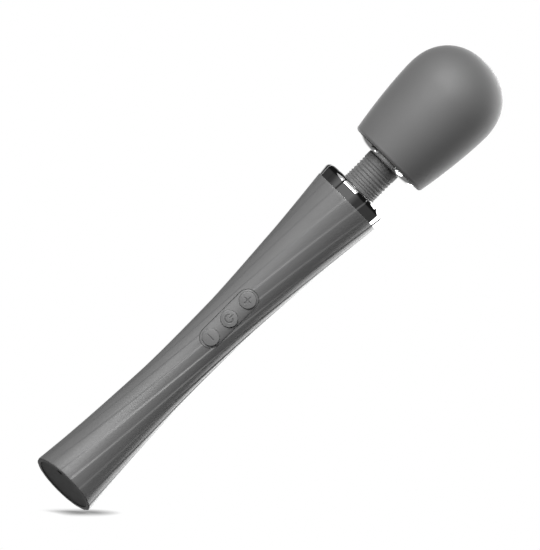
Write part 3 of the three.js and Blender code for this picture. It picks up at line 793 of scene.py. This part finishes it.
def bar_distance(x, y, width, height, middle=0.0):
    """Distance to an upright bar: below 0 inside it."""
    dx, dy = np.abs(x) - width / 2, np.abs(y - middle) - height / 2
    outside = np.hypot(np.maximum(dx, 0), np.maximum(dy, 0))
    return outside + np.minimum(np.maximum(dx, dy), 0)


def mark_distance(name, x, y):
    """Distance to a button's engraved sign: below 0 inside the stroke."""
    if name == "minus":
        return bar_distance(x, y, MARK_WIDTH, MARK_STROKE)
    if name == "plus":
        return np.minimum(bar_distance(x, y, MARK_WIDTH, MARK_STROKE),
                          bar_distance(x, y, MARK_STROKE, MARK_WIDTH))
    ring = np.abs(np.hypot(x, y) - POWER_RING) - MARK_STROKE / 2
    ring = np.where(np.abs(np.arctan2(x, y)) < POWER_OPENING, 1.0, ring)
    return np.minimum(ring, bar_distance(x, y, MARK_STROKE, POWER_BAR, POWER_BAR_MIDDLE))


def mark_share(name, x, y, softness):
    """1 inside a sign's stroke and 0 outside it, with a soft edge."""
    return np.clip(0.5 - mark_distance(name, x, y) / softness, 0, 1)


def button_skin(name, middle):
    face = float(front_depth(0.0, middle)) - BUTTON_RISE
    slope = float(front_depth(0.0, middle + 1) - front_depth(0.0, middle - 1)) / 2
    angles = circle(144)
    back = face + BUTTON_LENGTH
    profile = [(0.001, back), (3.0, back), (BUTTON_RADIUS, back), (BUTTON_RADIUS, face + BUTTON_SHOULDER)]
    rows = [[(r * math.cos(a), y, middle + r * math.sin(a)) for a in angles] for r, y in profile]
    rings = [(BUTTON_RADIUS - BUTTON_EDGE * (1 - math.cos(t)), BUTTON_EDGE * (1 - math.sin(t)))
             for t in np.radians(np.linspace(0, 90, 8))]
    rings += [(r, 0.0) for r in np.linspace(BUTTON_RADIUS - BUTTON_EDGE, 0.001, 62)[1:]]
    for r, drop in rings:
        x, y = r * np.cos(angles), r * np.sin(angles)
        inside = mark_share(name, x, y, 0.26)
        carved = MARK_DEPTH * inside * inside * (3 - 2 * inside)
        depth = face + drop + BUTTON_CROWN * r * r + slope * y + carved
        rows.append(np.stack([x, depth, middle + y], axis=1))
    obj = to_object(f"{name}_button_skin", grid([np.asarray(row, float) for row in rows]), 45)
    corners = np.array([v.co for v in obj.data.vertices], float) / MM
    on_face = corners[:, 1] < face + 1.2
    # painted shade: how far each point lies in a sign's stroke, which the material darkens
    painted_stroke_shade = mark_share(name, corners[:, 0], corners[:, 2] - middle, 0.3) * on_face
    obj.data.attributes.new("sign", "FLOAT", "POINT").data.foreach_set("value", painted_stroke_shade.astype(np.float32))
    return obj


for name, height in BUTTON_HEIGHTS.items():
    piece(button_skin(name, height), f"{name}_key", "button_silicone", f"{name}_button")


# ---------- the CAD nodes that stay as they are ----------
NODE_SLOTS = {part["node"]: part["material_slot"] for part in frame["record"]["subparts"]}
for node, obj in frame["nodes"].items():
    if not obj.hide_render:
        obj.data.materials.clear()
        obj.data.materials.append(materials[NODE_SLOTS[node]])

# ---------- floor: a pale sheet that meets the base's lowest corner in the picture ----------
PHOTO_RIGHT = Vector((1, 0, 1)).normalized()
PHOTO_UP = Vector((-1, 0, 1)).normalized()
TOWARD_CAMERA = Vector((0, -1, 0))
FLOOR_LEAN, FLOOR_REACH, FLOOR_STEPS = math.radians(4), 0.7, 12
LOWEST_CORNER, FLOOR_DROP = Vector((20.3, 0, 5.2)) * MM, 1.8 * MM
SHADOW_REACH, SHADOW_TONE = 16 * MM, 0.28


def floor_material():
    """White from above, with a painted contact shadow near the object, and clear from below."""
    material = bpy.data.materials.new("pale_floor")
    material.use_nodes = True
    tree = material.node_tree
    tree.nodes.clear()
    # painted contact shadow: ambient occlusion darkens the floor's emitted white near the object
    near = add_node(tree, "ShaderNodeAmbientOcclusion", samples=16)
    near.inputs["Distance"].default_value = SHADOW_REACH
    tone = add_node(tree, "ShaderNodeValToRGB")
    dark, pale = tone.color_ramp.elements
    dark.position, dark.color = 0.42, (SHADOW_TONE, SHADOW_TONE, SHADOW_TONE, 1)
    pale.position, pale.color = 0.97, (1, 1, 1, 1)
    glow = add_node(tree, "ShaderNodeEmission")
    clear = add_node(tree, "ShaderNodeBsdfTransparent")
    side = add_node(tree, "ShaderNodeNewGeometry")
    mix = add_node(tree, "ShaderNodeMixShader")
    out = add_node(tree, "ShaderNodeOutputMaterial")
    tree.links.new(near.outputs["AO"], tone.inputs["Fac"])
    tree.links.new(tone.outputs["Color"], glow.inputs["Color"])
    tree.links.new(side.outputs["Backfacing"], mix.inputs["Fac"])
    tree.links.new(glow.outputs["Emission"], mix.inputs[1])
    tree.links.new(clear.outputs["BSDF"], mix.inputs[2])
    tree.links.new(mix.outputs["Shader"], out.inputs["Surface"])
    return material


def make_floor():
    normal = PHOTO_UP * math.cos(FLOOR_LEAN) + TOWARD_CAMERA * math.sin(FLOOR_LEAN)
    middle = LOWEST_CORNER - normal * FLOOR_DROP
    across, along = PHOTO_RIGHT, normal.cross(PHOTO_RIGHT)
    bm = bmesh.new()
    places = [FLOOR_REACH * i / FLOOR_STEPS for i in range(-FLOOR_STEPS, FLOOR_STEPS + 1)]
    corners = [[bm.verts.new(middle + across * a + along * b) for a in places] for b in places]
    for near, far in zip(corners, corners[1:]):
        for i in range(2 * FLOOR_STEPS):
            bm.faces.new((near[i], near[i + 1], far[i + 1], far[i]))
    mesh = bpy.data.meshes.new("floor")
    bm.to_mesh(mesh)
    bm.free()
    mesh.materials.append(floor_material())
    floor = bpy.data.objects.new("floor", mesh)
    bpy.context.scene.collection.objects.link(floor)
    floor.visible_diffuse = floor.visible_glossy = floor.visible_shadow = False


make_floor()


# ---------- light ----------
def panel(name, azimuth, elevation, width, height, radiance, distance=1.5, shift=0.0):
    """A soft rectangular light; azimuth 0 is the camera's side and 90 is +X."""
    light = bpy.data.lights.new(name, "AREA")
    light.shape, light.size, light.size_y = "RECTANGLE", width, height
    light.energy = radiance * math.pi * width * height
    a, e = math.radians(azimuth), math.radians(elevation)
    back = Vector((math.sin(a) * math.cos(e), -math.cos(a) * math.cos(e), math.sin(e)))
    obj = bpy.data.objects.new(name, light)
    obj.location = Vector((shift, 0, 0.17)) + back * distance
    obj.rotation_mode = "QUATERNION"
    obj.rotation_quaternion = (-back).to_track_quat("-Z", "Y")
    obj.visible_camera = False
    bpy.context.scene.collection.objects.link(obj)


panel("key", -30, 24, 1.2, 0.8, 14.5)
panel("window", 0, 50, 3.0, 2.4, 0.55, shift=-1.3)
panel("rim", 143, 20, 1.9, 2.6, 3.1)

AMBIENT = 0.008
GLOWS = [  # direction, angle where it ends, angle where it is full, radiance
    ((-0.42, -0.9, 0.0), 55, 15, 0.12),  # front left, low
    ((0.15, 0.85, 0.5), 40, 10, 0.3),  # behind, above
    ((0.0, 1.0, 0.03), 33, 6, 0.9),  # behind
    ((0.0, 0.45, -0.9), 70, 25, 0.16),  # behind, below
    ((0.0, 0.0, -1.0), 100, 80, 0.036),  # the pale floor
]


def make_world():
    """White behind the object; what lights it is dim, with a few soft glows."""
    world = bpy.data.worlds.new("studio")
    world.use_nodes = True
    tree = world.node_tree
    tree.nodes.clear()
    where = add_node(tree, "ShaderNodeTexCoord").outputs["Generated"]
    total = add_node(tree, "ShaderNodeMath", operation="ADD")
    total.inputs[0].default_value, total.inputs[1].default_value = AMBIENT, 0.0
    for direction, edge, full, radiance in GLOWS:
        toward = add_node(tree, "ShaderNodeVectorMath", operation="DOT_PRODUCT")
        toward.inputs[1].default_value = Vector(direction).normalized()
        tree.links.new(where, toward.inputs[0])
        soft = add_node(tree, "ShaderNodeMapRange", interpolation_type="SMOOTHSTEP")
        for key, number in (("From Min", math.cos(math.radians(edge))),
                            ("From Max", math.cos(math.radians(full))), ("To Max", radiance)):
            soft.inputs[key].default_value = number
        tree.links.new(toward.outputs["Value"], soft.inputs["Value"])
        more = add_node(tree, "ShaderNodeMath", operation="ADD")
        tree.links.new(total.outputs["Value"], more.inputs[0])
        tree.links.new(soft.outputs["Result"], more.inputs[1])
        total = more
    lit, seen = add_node(tree, "ShaderNodeBackground"), add_node(tree, "ShaderNodeBackground")
    lit.inputs["Color"].default_value = seen.inputs["Color"].default_value = (1, 1, 1, 1)
    tree.links.new(total.outputs["Value"], lit.inputs["Strength"])
    mix, out = add_node(tree, "ShaderNodeMixShader"), add_node(tree, "ShaderNodeOutputWorld")
    tree.links.new(add_node(tree, "ShaderNodeLightPath").outputs["Is Camera Ray"], mix.inputs["Fac"])
    tree.links.new(lit.outputs["Background"], mix.inputs[1])
    tree.links.new(seen.outputs["Background"], mix.inputs[2])
    tree.links.new(mix.outputs["Shader"], out.inputs["Surface"])
    bpy.context.scene.world = world


make_world()

# ---------- camera ----------
LONG_SIDE = 0.31075  # of the picture, at the object
SENSOR, LENS = 36.0, 800.0
TARGET = Vector((-0.00115, 0, 0.1715))
camera_data = bpy.data.cameras.new("camera")
camera_data.sensor_width, camera_data.lens = SENSOR, LENS
camera_data.clip_start, camera_data.clip_end = 0.5, 30.0
camera = bpy.data.objects.new("camera", camera_data)
bpy.context.scene.collection.objects.link(camera)
place = TARGET + TOWARD_CAMERA * (LONG_SIDE * LENS / SENSOR)
axes = (PHOTO_RIGHT, PHOTO_UP, TOWARD_CAMERA, place)
camera.matrix_world = Matrix([[axis[k] for axis in axes] for k in range(3)] + [[0, 0, 0, 1]])
bpy.context.scene.camera = camera
bpy.context.scene.view_settings.view_transform = "Standard"
